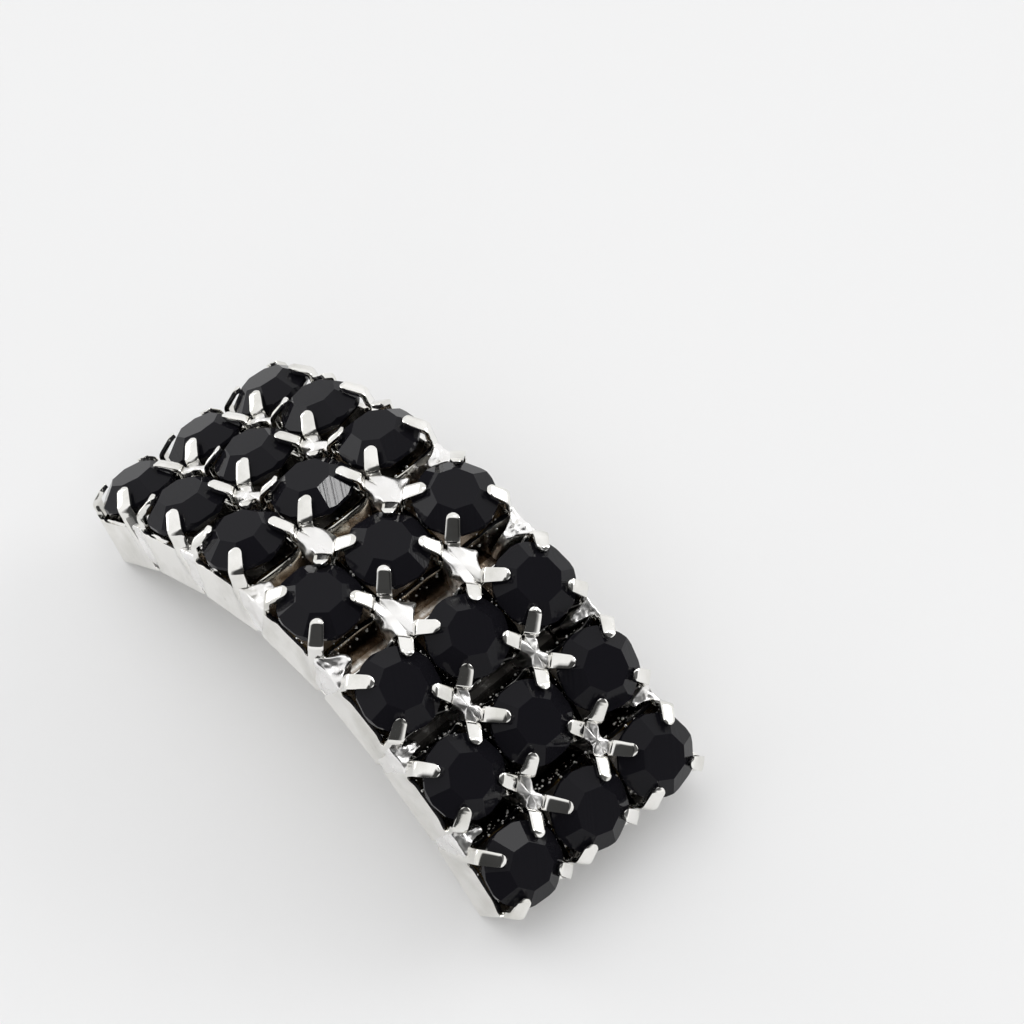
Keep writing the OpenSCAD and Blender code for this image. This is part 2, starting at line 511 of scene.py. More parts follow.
def metal(name, finish, bright, roughness, wear, pits, shade_and_grime=0.85, ripple=1):
    """Plated metal with a duller tone in places, fine ripples, dark specks, and painted shade
    where it is hidden, partly real residue, which is brown beside the crest and darker further out."""
    material, graph, shader = new_material(name)
    place = graph.get("ShaderNodeTexCoord", output="Object")
    cloud = graph.ramp(graph.noise(place, scale=520, detail=4), (0.42, 0), (0.7, 1))
    fine = graph.noise(place, scale=2600, detail=3)
    specks = graph.noise(place, scale=1500, detail=5, roughness=0.65)
    specks = graph.ramp(specks, (0.66, 0), (0.71, 1))
    patches = graph.ramp(graph.noise(place, scale=260, detail=3), (0.5, 0), (0.62, 1))
    spots = graph.clamp(specks * patches * pits)
    tone = graph.mix(cloud * wear, rgba(bright), rgba(finish.plate_shade))
    tone = graph.mix(spots, tone, rgba(finish.tarnish))
    # Painted shade: the colour darkens where the baked ray count says the metal is hidden, partly
    # real residue
    depth = graph.get("ShaderNodeAttribute", {"attribute_name": DEPTH}, output="Fac")
    streak = graph.noise(place, scale=1900, detail=4, roughness=0.6)
    deep = graph.clamp((depth - SHADE_AND_GRIME_FROM) * 5 + (streak - 0.5) * 2.6)
    split = graph.node("ShaderNodeSeparateXYZ", None, {"Vector": place})
    away = abs(Value(graph, split.outputs["X"]))
    off_crest = graph.clamp((away - CREST_SHADE_AND_GRIME_X * MM) / MM)
    shade_and_grime_tone = graph.mix(off_crest, rgba(finish.crest_shade_and_grime), rgba(finish.gap_shade_and_grime))
    height = graph.noise(place, scale=900, detail=2) + fine * 0.25 - spots * 0.8
    rough = roughness + cloud * (0.6 * roughness) + spots * 0.35 + fine * 0.02 + deep * 0.12
    graph.fill(shader, {
        "Base Color": graph.mix(deep * shade_and_grime, tone, shade_and_grime_tone),
        "Metallic": 1,
        "Roughness": rough,
        "Normal": graph.bump(0.12, 0.04 * MM * ripple, height),
    })
    return material


def black_glass(scene, arch, column):
    """Black glass with gold foil on its back, for the stones of one column."""
    finish, stone = scene.slider_finish, scene.slider_stone
    material, graph, shader = new_material(f"Black glass column {column}")
    place = graph.get("ShaderNodeTexCoord", output="Object")
    centre, out = arch.centre(column), arch.outward(arch.lean(column))
    foot = centre.x * out.x + centre.y * out.y
    height = graph.vector("DOT_PRODUCT", place, (out.x, 0, out.y), "Value") - foot
    foil_top = stone.girdle_h - stone.girdle_t - 0.5 * MM
    foil_fade = 0.12 * MM
    foiled = graph.clamp((foil_top - height) / foil_fade)
    worn = graph.ramp(graph.noise(place, scale=1400, detail=4, roughness=0.6), (0.4, 0), (0.62, 1))
    foil = graph.mix(worn, rgba(finish.foil), rgba(finish.foil_shade))
    smear = graph.noise(place, scale=700, detail=3)
    waves = graph.noise(place, scale=500, detail=2)
    polish_way = (0.43, 0.87, -0.22)
    across = graph.vector("DOT_PRODUCT", place, polish_way, "Value")
    polish = graph.noise(graph.xyz(X=across), scale=5200, detail=2, roughness=0.6)
    graph.fill(shader, {
        "Base Color": graph.mix(foiled, rgba(finish.glass), foil),
        "Metallic": foiled * 0.9,
        "Roughness": 0.035 + smear * 0.03 + foiled * (0.22 + worn * 0.2),
        "Normal": graph.bump(0.3, 0.02 * MM, waves * 0.15 + polish),
        "IOR": 1.58,
        "Specular IOR Level": 0.095,
    })
    return material


# Cups

def claw_line(cup, stone):
    """Outer line of a claw from the window's top to its tip: distance from the axis and
    height, direction of the line, and half width."""
    eighth = math.cos(math.pi / 8)
    foot = Vector((stone.radius, stone.girdle_h + (stone.table_h - stone.girdle_h)
                   * (stone.flat - stone.radius * eighth) / (stone.flat - stone.table)))
    top = Vector((stone.table / eighth, stone.table_h))
    ridge = (top - foot).normalized()
    out = Vector((ridge.y, -ridge.x))
    tip = foot + ridge * cup.claw_reach + out * (cup.clearance + cup.wall)
    arm = (tip - Vector((cup.claw_out, cup.elbow_h))).normalized()
    over = Vector((arm.y, -arm.x))
    bend = math.acos(arm.y)
    low = cup.elbow_h - cup.elbow * math.tan(bend / 2)
    line = []
    for part in (0.4, 0.75):
        height = cup.window_top + (low - cup.window_top) * part
        line.append((Vector((cup.claw_out, height)), Vector((0, 1)), cup.claw_half))
    hub = Vector((cup.claw_out - cup.elbow, low))
    for part in (0, 0.2, 0.4, 0.6, 0.8, 1):
        turn = bend * part
        line.append((hub + cup.elbow * Vector((math.cos(turn), math.sin(turn))),
                     Vector((-math.sin(turn), math.cos(turn))), cup.claw_half))
    first = line[-1][0]
    straight = (tip - first).length - cup.claw_half
    for part in (0.35, 0.7, 0.93, 1):
        half = cup.claw_half * (1 - cup.taper * part)
        line.append((first + arm * straight * part, arm, half))
    tip_turns = (11, 23, 35, 47, 59, 70)
    for degrees in tip_turns:
        step = math.radians(degrees)
        dive = smooth((degrees - tip_turns[0]) / (tip_turns[-1] - tip_turns[0]))
        dip = dive * 0.6
        way = arm * math.cos(dip) - over * math.sin(dip)
        reach = straight + cup.claw_half * math.sin(step)
        line.append((first + arm * reach - over * cup.curl * dive, way, half * math.cos(step)))
    return line


class CupShape:
    """The outer surface of one cup with its four claws, standing at the origin."""

    root = math.sqrt(0.5)  # share of a diagonal length that runs along X or Y
    knee = 1.35 * MM  # height from which a wall's rows follow the window
    seam_share = 0.018  # half width of the open seam, as a share of the wall's
    slot_share = 0.61  # half width of the slot, as a share of the wall's

    def __init__(self, scene):
        cup = scene.slider_cup
        self.cup, self.stone, self.base = cup, scene.slider_stone, cup.foot / 2
        turns = [math.radians(degrees) for degrees in (90, 60, 30)]
        self.rounding = [(cup.foot_round * (1 - math.sin(turn)),
                          cup.foot_round * (1 - math.cos(turn))) for turn in turns]

    def strip(self, height):
        """Distance of a corner strip from the axis, and its half width."""
        cup = self.cup
        part = height / cup.window_top
        away = self.base / self.root + (cup.claw_out - self.base / self.root) * part
        half = cup.claw_half * (STRIP_FOOT + (1 - STRIP_FOOT) * smooth(part) ** 1.2)
        return away - STRIP_FOOT * cup.claw_half * (1 - part), half

    def edge(self, height):
        """Corner strip's edge beside a wall."""
        away, half = self.strip(height)
        return (away + half) * self.root, (away - half) * self.root

    def window(self, share):
        """Height of a wall's top at a share of its half width."""
        cup = self.cup
        side = self.edge(cup.window_top)[1]
        past = (abs(share) * side - cup.sill_half) / (side - cup.sill_half)
        if past <= 0:
            return cup.sill
        return cup.sill + (cup.window_top - cup.sill) * (1 - math.sqrt(max(0, 1 - past * past)))

    def heights(self, share):
        """Heights of the vertices of one column of a wall above the foot's rounding."""
        rest = self.window(share) - self.knee
        return [self.cup.foot_round, self.cup.slot_low, self.cup.slot_high, self.knee,
                *(self.knee + rest * part for part in (0.35, 0.7, 1))]

    def wall_point(self, share, height, inset):
        """Point of the wall that faces +X. The wall bulges a little between its corners."""
        cup = self.cup
        ex, ey = self.edge(height)
        flat = self.base + (cup.top / 2 - self.base) * height / cup.post
        bulge = 0.035 * MM * (1 - share * share) * smooth(height / cup.sill)
        bulge *= 1 - height / cup.post
        x = flat + bulge + (ex - flat) * smooth((abs(share) - 0.5) / 0.5)
        return x - inset, share * (ey - inset)

    def walls(self, bm, slotted):
        """The four walls. The first may have the slot and the open seam above it."""
        half = (self.seam_share, 0.2, 0.38, 0.5, self.slot_share, 0.75, 0.86, 0.94, 0.985, 1)
        shares = [-share for share in reversed(half)] + [0, *half]
        slot_row = len(self.rounding) + 1

        def keep(row, column):
            """Whether a face of the slotted wall stays."""
            wide = abs((shares[column] + shares[column + 1]) / 2)
            if row == slot_row:
                return wide >= self.slot_share
            return row < slot_row or wide >= self.seam_share

        for side in range(4):
            turn = Matrix.Rotation(side * math.pi / 2, 3, "Z")
            columns = []
            for share in shares:
                points = [(*self.wall_point(share, self.cup.foot_round, inset), height)
                          for height, inset in self.rounding]
                points += [(*self.wall_point(share, height, 0), height)
                           for height in self.heights(share)]
                columns.append([bm.verts.new(turn @ Vector(point)) for point in points])
            rows = list(zip(*columns))
            grid_faces(bm, rows, keep=keep if slotted and side == 0 else None)

    def claws(self, bm):
        """The strip up each corner and the claw above it. The claws' vertices hold their
        claw's number and the ways in which a claw may differ."""
        claw = bm.verts.layers.int["claw"]
        side_way = bm.verts.layers.float_vector["side_way"]
        long_way = bm.verts.layers.float_vector["long_way"]
        line = claw_line(self.cup, self.stone)
        stations = self.rounding + [(height, 0) for height in self.heights(1)]
        for corner in range(4):
            turn = math.pi / 4 + corner * math.pi / 2
            radial = Vector((math.cos(turn), math.sin(turn), 0))
            tangent = Vector((-radial.y, radial.x, 0))
            rows = []
            for height, inset in stations:
                away, half = self.strip(max(height, self.cup.foot_round))
                row = []
                for across in ACROSS:
                    place = radial * (away - inset / self.root) + tangent * half * across
                    row.append(bm.verts.new(place + Vector((0, 0, height))))
                rows.append(row)
            for index, (point, way, half) in enumerate(line):
                row = []
                weight = smooth(index / (len(line) - 1))
                normal = radial * way.y - Vector((0, 0, way.x))
                for across in ACROSS:
                    sink = 0.03 * MM * across * across
                    place = radial * point.x + Vector((0, 0, point.y)) + tangent * half * across
                    vert = bm.verts.new(place - normal * sink)
                    vert[claw] = corner
                    vert[side_way] = tangent * weight
                    vert[long_way] = (radial * way.x + Vector((0, 0, way.y))) * weight
                    row.append(vert)
                rows.append(row)
            grid_faces(bm, rows)

    def sheet(self, name, slotted):
        """The cup as an object of sheet metal with rounded edges."""
        bm = bmesh.new()
        bm.verts.layers.int.new("claw")
        bm.verts.layers.float_vector.new("side_way")
        bm.verts.layers.float_vector.new("long_way")
        self.walls(bm, slotted)
        self.claws(bm)
        bmesh.ops.remove_doubles(bm, verts=bm.verts, dist=2e-6)
        foot = [e for e in bm.edges if e.is_boundary and all(v.co.z < 1e-7 for v in e.verts)]
        bmesh.ops.contextual_create(bm, geom=foot)
        surface = mesh_object(name, bm)
        solid = surface.modifiers.new("Sheet", "SOLIDIFY")
        solid.thickness = self.cup.wall
        solid.offset = -1
        round_edges(surface, self.cup.edge, segments=2, limit=55)
        return surface


def new_tree(name, sides):
    """A Geometry Nodes tree with named inputs: its graph, and the inputs by their names."""
    tree = bpy.data.node_groups.new(name, "GeometryNodeTree")
    for side, kind in sides.items():
        tree.interface.new_socket(side, in_out="INPUT", socket_type=f"NodeSocket{kind}")
    tree.interface.new_socket("Geometry", in_out="OUTPUT", socket_type="NodeSocketGeometry")
    graph = Graph(tree)
    given = graph.node("NodeGroupInput")
    return graph, {side: Value(graph, given.outputs[side]) for side in sides}


def end_tree(graph, geometry, material):
    """Gives a tree's geometry its material and its way out."""
    shaded = graph.get("GeometryNodeSetMaterial", None, {
        "Geometry": geometry, "Material": material})
    graph.node("NodeGroupOutput", None, {"Geometry": shaded})
    return graph.tree


def cup_tree():
    """Geometry Nodes that set the cups on the arch and vary their claws."""
    graph, value = new_tree("Cups on an arch", {
        "Cup": "Object", "End cup": "Object", "Metal": "Material", "Column pitch": "Float",
        "Row pitch": "Float", "Foot": "Float", "Crest bend": "Float", "Side bend": "Float",
        "Wander": "Float", "Stretch": "Float", "Seed": "Int",
    })
    index = graph.get("GeometryNodeInputIndex")
    column = graph.math("MODULO", index, COLUMNS)
    row = graph.math("FLOOR", index / COLUMNS)
    off = column - (CREST - 1)
    bend = value["Crest bend"] + (abs(off) - 1) * value["Side bend"]
    lean = graph.math("SIGN", off) * bend
    run = value["Column pitch"] * graph.math("COSINE", lean)
    fall = value["Column pitch"] * graph.math("SINE", lean)

    def summed(step):
        """Running sum of a step along each row, and its total."""
        made = graph.node("GeometryNodeAccumulateField", None, {"Value": step, "Group ID": row})
        return Value(graph, made.outputs["Trailing"]), Value(graph, made.outputs["Total"])

    before, whole = summed(run)
    x = before + run / 2 - whole / 2
    dropped, _ = summed(fall)
    end_lean = value["Crest bend"] + value["Side bend"] * (CREST - 2)
    start = (value["Foot"] - value["Column pitch"]) / 2 * graph.math("SINE", end_lean)
    z = start - dropped - fall / 2
    y = (row - (ROWS - 1) / 2) * value["Row pitch"]
    points = graph.get("GeometryNodePoints", None, {"Count": COLUMNS * ROWS})
    points = graph.get("GeometryNodeSetPosition", None, {
        "Geometry": points, "Position": graph.xyz(X=x, Y=y, Z=z)})
    is_end = graph.math("COMPARE", abs(off), CREST - 1, 0.5)
    half_turn = (off < -(CREST - 1.5)) * math.pi
    tilt, yaw = graph.xyz(Y=lean), graph.xyz(Z=half_turn)
    turned = graph.get("FunctionNodeRotateRotation", {"rotation_space": "LOCAL"}, {
        "Rotation": graph.get("FunctionNodeEulerToRotation", None, {"Euler": tilt}),
        "Rotate By": graph.get("FunctionNodeEulerToRotation", None, {"Euler": yaw}),
    })
    marks = (
        ("cup", "INT", index),
        ("turn", "QUATERNION", graph.get("GeometryNodeInputInstanceRotation")),
    )
    joined = graph.node("GeometryNodeJoinGeometry")
    for which, chosen in (("Cup", 1 - is_end), ("End cup", is_end)):
        shape = graph.get("GeometryNodeObjectInfo", None, {"Object": value[which]}, "Geometry")
        cups = graph.get("GeometryNodeInstanceOnPoints", None, {
            "Points": points, "Selection": chosen, "Instance": shape, "Rotation": turned})
        for name, kind, what in marks:
            cups = graph.get("GeometryNodeStoreNamedAttribute",
                             {"data_type": kind, "domain": "INSTANCE"},
                             {"Geometry": cups, "Name": name, "Value": what})
        graph.tree.links.new(cups.socket, joined.inputs[0])
    real = graph.get("GeometryNodeRealizeInstances", None, {
        "Geometry": Value(graph, joined.outputs[0])})
    claw_id = graph.field("cup", "INT") * 4 + graph.field("claw", "INT")
    turn = graph.field("turn", "QUATERNION")
    shifts = []
    for number, (name, size) in enumerate((("side_way", "Wander"), ("long_way", "Stretch"))):
        chance = graph.random(-1.0, 1.0, value["Seed"] + number, ID=claw_id)
        way = graph.get("FunctionNodeRotateVector", None, {
            "Vector": graph.field(name, "FLOAT_VECTOR"), "Rotation": turn})
        shifts.append(graph.get("ShaderNodeVectorMath", {"operation": "SCALE"},
                                {0: way, "Scale": chance * value[size]}))
    moved = graph.get("GeometryNodeSetPosition", None, {
        "Geometry": real, "Offset": graph.vector("ADD", *shifts)})
    return end_tree(graph, moved, value["Metal"])


class SLIDER_OT_cups(bpy.types.Operator):
    """Sets the claw cups on the arch"""

    bl_idname = "slider.cups"
    bl_label = "Claw cups"

    def execute(self, context):
        scene = context.scene
        arch, cup, colours = scene.slider_arch, scene.slider_cup, scene.slider_finish
        shape = CupShape(scene)
        masters = [baked(shape.sheet(f"{kind}_master", kind == "end"), f"{kind}_shape")
                   for kind in ("plain", "end")]
        plating = metal("Bright plating", colours, colours.plate, colours.gloss,
                        wear=0.85, pits=0.25)
        cups = grown("claw_cups", cup_tree(), {
            "Cup": masters[0], "End cup": masters[1], "Metal": plating,
            "Column pitch": arch.column_pitch, "Row pitch": arch.row_pitch, "Foot": cup.foot,
            "Crest bend": arch.crest_bend, "Side bend": arch.side_bend,
            "Wander": cup.wander, "Stretch": cup.stretch, "Seed": cup.seed,
        })
        for master in masters:
            bpy.data.objects.remove(master, do_unlink=True)
        for name in ("cup", "turn", "claw", "side_way", "long_way"):
            stored = cups.data.attributes.get(name)
            if stored:
                cups.data.attributes.remove(stored)
        finish_piece(cups, plating)
        return {"FINISHED"}


# Solder

def strip_ends(scene, arch, column, x_side, y_side, height, row_y):
    """Both edges and the middle of a cup's corner strip at a height, in turn about the seam."""
    cup = scene.slider_cup
    part = min(height / cup.window_top, 1)
    root = math.sqrt(0.5)
    inset = 0.1 * MM
    away = cup.foot * root
    away += (cup.claw_out - away) * part - inset
    half = cup.claw_half * (STRIP_FOOT + 0.7 * smooth(part))
    turn = arch.lean(column)
    points = []
    for across in (-half, 0, half):
        along = (x_side * away + y_side * across) * root
        aside = (y_side * away - x_side * across) * root
        point = arch.centre(column) + along * arch.along(turn) + height * arch.outward(turn)
        points.append(Vector((point.x, row_y + aside, point.y)))
    return points


def flow_body(bm, rings, hollow, swell, spreads=None, sag=0):
    """Solder between strips. Each ring lists three points of every strip, in turn.
    The spreads, one for each ring, push the side towards +Y out along the seam, and the
    side towards -Y by a part of that. The sag lowers the upper rings between the strips."""
    rows = []
    for level, ring in enumerate(rings):
        centre = sum((p for strip in ring for p in strip), Vector()) / (3 * len(ring))
        row = []
        for index, strip in enumerate(ring):
            after = ring[(index + 1) % len(ring)][0]
            row += [bm.verts.new(point) for point in strip]
            chord = (after - strip[-1]).length
            for part in (0.2, 0.4, 0.6, 0.8):
                pull = hollow * 4 * part * (1 - part) * min(1, chord / MM)
                point = strip[-1].lerp(after, part).lerp(centre, pull)
                point.z -= sag * (level / (len(rings) - 1)) ** 2 * 4 * part * (1 - part)
                rise = math.sin(math.pi * part)
                if spreads and index == 0:
                    point.y -= NEAR_WEB * spreads[level] * rise ** 3
                if spreads and index == 2:
                    uneven = 0.85 + 0.7 * noise.noise(point / MM * 1.6)
                    point.y += spreads[level] * rise ** 0.9 * uneven
                row.append(bm.verts.new(point))
        rows.append(row)
    grid_faces(bm, rows, closed=True)
    cap(bm, rows[0], swell=0, parts=())
    cap(bm, rows[-1], swell, parts=(0.25, 0.5, 0.75))


def cap(bm, row, swell, parts):
    """Closes a ring of vertices with rings that rise towards its middle and level out."""
    centre = sum((v.co for v in row), Vector()) / len(row)
    out = sum(((v.co - centre).cross(row[i - 1].co - centre) for i, v in enumerate(row)), Vector())
    out = out.normalized() * math.copysign(1, out.z)
    rings = [row]
    for part in parts:
        ring = []
        for vert in row:
            off = (vert.co - centre).dot(out)
            level = (vert.co - out * off).lerp(centre, part)
            ring.append(bm.verts.new(level + out * (off * (1 - part) ** 3 + swell * smooth(part))))
        rings.append(ring)
    grid_faces(bm, rings, closed=True)
    hub = bm.verts.new(centre + out * swell)
    for index, vert in enumerate(rings[-1]):
        bm.faces.new([hub, vert, rings[-1][(index + 1) % len(row)]])


class SLIDER_OT_solder(bpy.types.Operator):
    """Flows solder between the corners of neighbouring cups"""

    bl_idname = "slider.solder"
    bl_label = "Solder"

    def execute(self, context):
        scene = context.scene
        colours = scene.slider_finish
        coat = metal("Solder", colours, colours.solder, roughness=0.24,
                     wear=0.3, pits=0.5, shade_and_grime=0.3, ripple=5)
        for name, fill, rough in (("solder_seams", self.seams, 1), ("solder_edges", self.edges, 2)):
            bm = bmesh.new()
            fill(bm, scene, Arch(scene), scene.slider_solder)
            flow = mesh_object(f"{name}_shape", bm)
            rounded = flow.modifiers.new("Flow", "SUBSURF")
            rounded.levels = rounded.render_levels = 2
            flow = baked(flow, name)
            self.lumps(flow, scene.slider_solder.lump * rough)
            finish_piece(flow, coat)
        return {"FINISHED"}

    def seams(self, bm, scene, arch, solder):
        """Solder between each four cups. Beside the middle column it runs out as webs."""
        shares = (0.04, 0.4, 0.66, 0.82, 0.93, 1)
        webs = [solder.crest_web * share for share in (0, 0.2, 0.6, 1, 0.8, 0.4)]
        for joint in range(1, COLUMNS):
            corners = ((joint, 1, -1), (joint + 1, -1, -1), (joint + 1, -1, 1), (joint, 1, 1))
            crest = abs(joint - COLUMNS / 2) < 1
            hollow = solder.crest_hollow if crest else solder.hollow
            top = solder.crest_top if crest else solder.top
            swell = 0 if crest else solder.swell
            for seam in (-0.5, 0.5):
                rings = []
                for share in shares:
                    rings.append([strip_ends(scene, arch, column, x_side, -row_side, top * share,
                                             (seam + 0.5 * row_side) * arch.row_pitch)
                                  for column, x_side, row_side in corners])
                flow_body(bm, rings, hollow, swell, webs if crest else None, solder.sag)

    def edges(self, bm, scene, arch, solder):
        """Solder between two cups at the long sides."""
        for joint in range(1, COLUMNS):
            for side in (-1, 1):
                row_y = side * (ROWS - 1) / 2 * arch.row_pitch
                rings = []
                for share in (0.04, 0.4, 0.75, 1):
                    height = solder.edge_top * share
                    near = strip_ends(scene, arch, joint, 1, side, height, row_y)
                    far = strip_ends(scene, arch, joint + 1, -1, side, height, row_y)
                    inward = solder.inward * (1 - 0.3 * share)
                    middle = (near[1] + far[1]) / 2
                    inner = [middle + Vector((step * 0.25 * MM, -side * inward, 0))
                             for step in (-side, 0, side)]
                    rings.append([near, far, inner] if side < 0 else [far, near, inner])
                flow_body(bm, rings, hollow=0.08, swell=0)

    def lumps(self, piece, size):
        """Makes a piece's surface uneven, less so on the solder columns near the crest."""
        least = 0.35
        normals = [vert.normal.copy() for vert in piece.data.vertices]
        for vert, normal in zip(piece.data.vertices, normals):
            place = vert.co / MM
            off_seam = abs(abs(place.y) - SEAM_Y)
            off_crest = abs(place.x) - CREST_X
            rough = least + (1 - least) * smooth(max(off_crest / 2, (off_seam - 0.8) / 0.6))
            swell = noise.noise(place * 1.1) + 0.3 * noise.noise(place * 2.2 + Vector((7, 3, 1)))
            swell += 0.3 * (rough - least) * noise.noise(place * 4.1 + Vector((2, 5, 9)))
            vert.co += normal * size * rough * swell


# Back

def sweep(bm, stations, loop):
    """A closed strip through stations of (point, turn, half width). The loop holds the
    cross-section's points as (share of the half width, offset, height)."""
    rows = []
    for point, turn, half in stations:
        out = Vector((math.sin(turn), 0, math.cos(turn)))
        rows.append([bm.verts.new(Vector((point.x, share * half + off, point.y)) + out * height)
                     for share, off, height in loop])
    grid_faces(bm, rows, closed=True)
    for row in (rows[0], rows[-1]):
        if (row[0].co - row[len(row) // 2].co).length > 1e-5:
            bm.faces.new(row)


def slab_loop(low, high, corner):
    """Cross-section of a flat strip with rounded edges, as (share, offset, height)."""
    loop = []
    middle = (low + high) / 2
    for share, start in ((1, -90), (-1, 90)):
        for turn in range(0, 181, 30):
            around = math.radians(start + turn)
            y = corner * math.cos(around)
            z = corner * math.sin(around)
            if abs(z) > 1e-9:
                z += math.copysign((high - low) / 2 - corner, z)
            loop.append((share, y - share * corner, middle + z))
    return loop


def arch_stations(arch, reach, half_at, bend=0.35, extra=()):
    """Stations along the arch's underside out to a reach on both sides. Each bend is
    rounded off over some millimetres before and after it."""
    places = set(extra)
    for joint in range(1, COLUMNS):
        edge = (joint - COLUMNS / 2) * arch.pitch
        places.update(edge + step * bend * MM for step in (-1, -0.6, -0.25, 0, 0.25, 0.6, 1))
    count = 60
    places.update(reach * step / count for step in range(-count, count + 1))
    stations = []
    for place in sorted(p for p in places if abs(p) <= reach):
        near = [arch.at(place + step * bend * MM) for step in ACROSS]
        point = sum((spot for spot, turn in near), Vector((0, 0))) / len(near)
        turn = sum(turn for spot, turn in near) / len(near)
        stations.append((point, turn, half_at(point.x)))
    return stations


class SLIDER_OT_sheet(bpy.types.Operator):
    """Lays the sheet under the cups"""

    bl_idname = "slider.sheet"
    bl_label = "Base sheet"

    def execute(self, context):
        scene = context.scene
        arch, back = Arch(scene), scene.slider_back
        half = (ROWS - 1) / 2 * arch.row_pitch + arch.foot / 2 - back.sheet_inset
        reach = (COLUMNS - 1) / 2 * arch.pitch + arch.foot / 2 - back.sheet_inset
        bm = bmesh.new()
        sweep(bm, arch_stations(arch, reach, lambda x: half),
              slab_loop(back.sheet_low, back.sheet_high, corner=0.1 * MM))
        sheet = mesh_object("base_sheet", bm)
        colours = scene.slider_finish
        finish_piece(sheet, metal("Sheet", colours, colours.plate, roughness=0.12,
                                  wear=0.6, pits=0.7))
        return {"FINISHED"}


class SLIDER_OT_plate(bpy.types.Operator):
    """Bends the round-ended back plate to the arch"""

    bl_idname = "slider.plate"
    bl_label = "Back plate"

    def execute(self, context):
        scene = context.scene
        arch, back = Arch(scene), scene.slider_back
        radius = back.plate_width / 2
        tip = arch.joints[COLUMNS - 1].x + back.plate_end
        centre = tip - radius

        def half_at(x):
            """Half the plate's width at a place along it."""
            past = max(0, abs(x) - centre)
            return math.sqrt(max(0, radius * radius - past * past))

        last = (COLUMNS / 2 - 1) * arch.pitch
        reach = last + back.plate_end / math.cos(arch.lean(COLUMNS))
        rounded = 0.12
        extra = [side * (reach - reach * rounded * (1 - math.sin(math.radians(degrees))))
                 for side in (-1, 1) for degrees in range(0, 91, 6)]
        bm = bmesh.new()
        sweep(bm, arch_stations(arch, reach, half_at, bend=0.8, extra=extra),
              slab_loop(low=-back.plate, high=0.1 * MM, corner=0.16 * MM))
        plate = mesh_object("back_plate", bm)
        colours = scene.slider_finish
        finish_piece(plate, metal("Back plating", colours, colours.plate, colours.satin,
                                  wear=0.8, pits=1.6, shade_and_grime=0.1))
        return {"FINISHED"}


class SLIDER_OT_bar(bpy.types.Operator):
    """Makes the ribbon bar and the web at each of its ends"""

    bl_idname = "slider.bar"
    bl_label = "Ribbon bar"

    def execute(self, context):
        scene = context.scene
        arch, back, colours = Arch(scene), scene.slider_back, scene.slider_finish
        bm = bmesh.new()
        self.bar(bm, arch, back)
        bar = mesh_object("ribbon_bar", bm)
        bm = bmesh.new()
        self.webs(bm, arch, back)
        webs = mesh_object("web_shape", bm)
        round_edges(webs, width=0.18 * MM, segments=3, limit=50)
        webs = baked(webs, "bar_webs")
        coat = metal("Bar plating", colours, colours.plate, roughness=0.09, wear=0.5, pits=0.6)
        finish_piece(bar, coat)
        finish_piece(webs, coat)
        return {"FINISHED"}

    def bar(self, bm, arch, back):
        """The bar with its round long edges, cut at the slope of the end cups."""
        lift = 0.15 * MM
        crown = 0.03 * MM
        count = 24
        middle = back.bar_rise + back.bar / 2
        half = back.bar / 2
        lean = arch.lean(COLUMNS)
        foot = arch.mitre(COLUMNS, lift)
        loop = []
        for side in (1, -1):
            for turn in range(0, 181, 20):
                around = math.radians(turn - 90)
                loop.append((side * (back.bar_width / 2 - half + half * math.cos(around)),
                             side * half * math.sin(around)))
        rows = []
        for step in range(-count, count + 1):
            x = step / count
            row = []
            for y, z in loop:
                height = middle + z
                end = foot.x - (height - foot.y) / math.tan(lean)
                rise = crown * math.cos(math.pi * y / back.bar_width)
                row.append(bm.verts.new((x * end, y, height + math.copysign(rise, z))))
            rows.append(row)
        grid_faces(bm, rows, closed=True)
        bm.faces.new(rows[0])
        bm.faces.new(rows[-1])

    def webs(self, bm, arch, back):
        """Fills the sharp corner between the bar and the plate, up to the rounded end."""
        column = COLUMNS - 1
        lean, end_lean = arch.lean(column), arch.lean(COLUMNS)
        top = back.bar_rise + back.bar
        sink = 0.02 * MM
        corner = arch.mitre(column - 1, -back.plate)
        z = top + back.web - sink
        x = corner.x + (corner.y - z - (back.web - sink) / math.cos(lean)) / math.tan(lean)
        hub = Vector((x, z))
        middle = back.bar_rise + back.bar / 2
        outline = [Vector((x, middle))]
        count = 12
        for step in range(count + 1):
            turn = -math.pi / 2 + (math.pi - lean) * step / count
            outline.append(hub + back.web * Vector((math.cos(turn), math.sin(turn))))
        outline.append(hub + arch.outward(lean) * (back.web + back.plate / 2))
        knee = arch.mitre(column, -back.plate / 2)
        outline.append(knee)
        outline.append(knee + arch.along(end_lean) * arch.pitch / 4)
        outline.append(Vector((arch.joints[column].x + arch.pitch / 8, middle)))
        half = (back.bar_width - back.bar) / 2
        for side in (1, -1):
            rows = [[bm.verts.new((side * p.x, y, p.y)) for p in outline]
                    for y in (-half, half)]
            grid_faces(bm, rows, closed=True)
            for row in rows:
                bm.faces.new(row)


# Crevices and grains

def dome(count):
    """Directions spread over a half sphere, denser towards +Z."""
    golden = math.pi * (3 - math.sqrt(5))
    ways = []
    for index in range(count):
        across = math.sqrt((index + 0.5) / count)
        ways.append((across * math.cos(golden * index), across * math.sin(golden * index),
                     math.sqrt(1 - across * across)))
    return ways


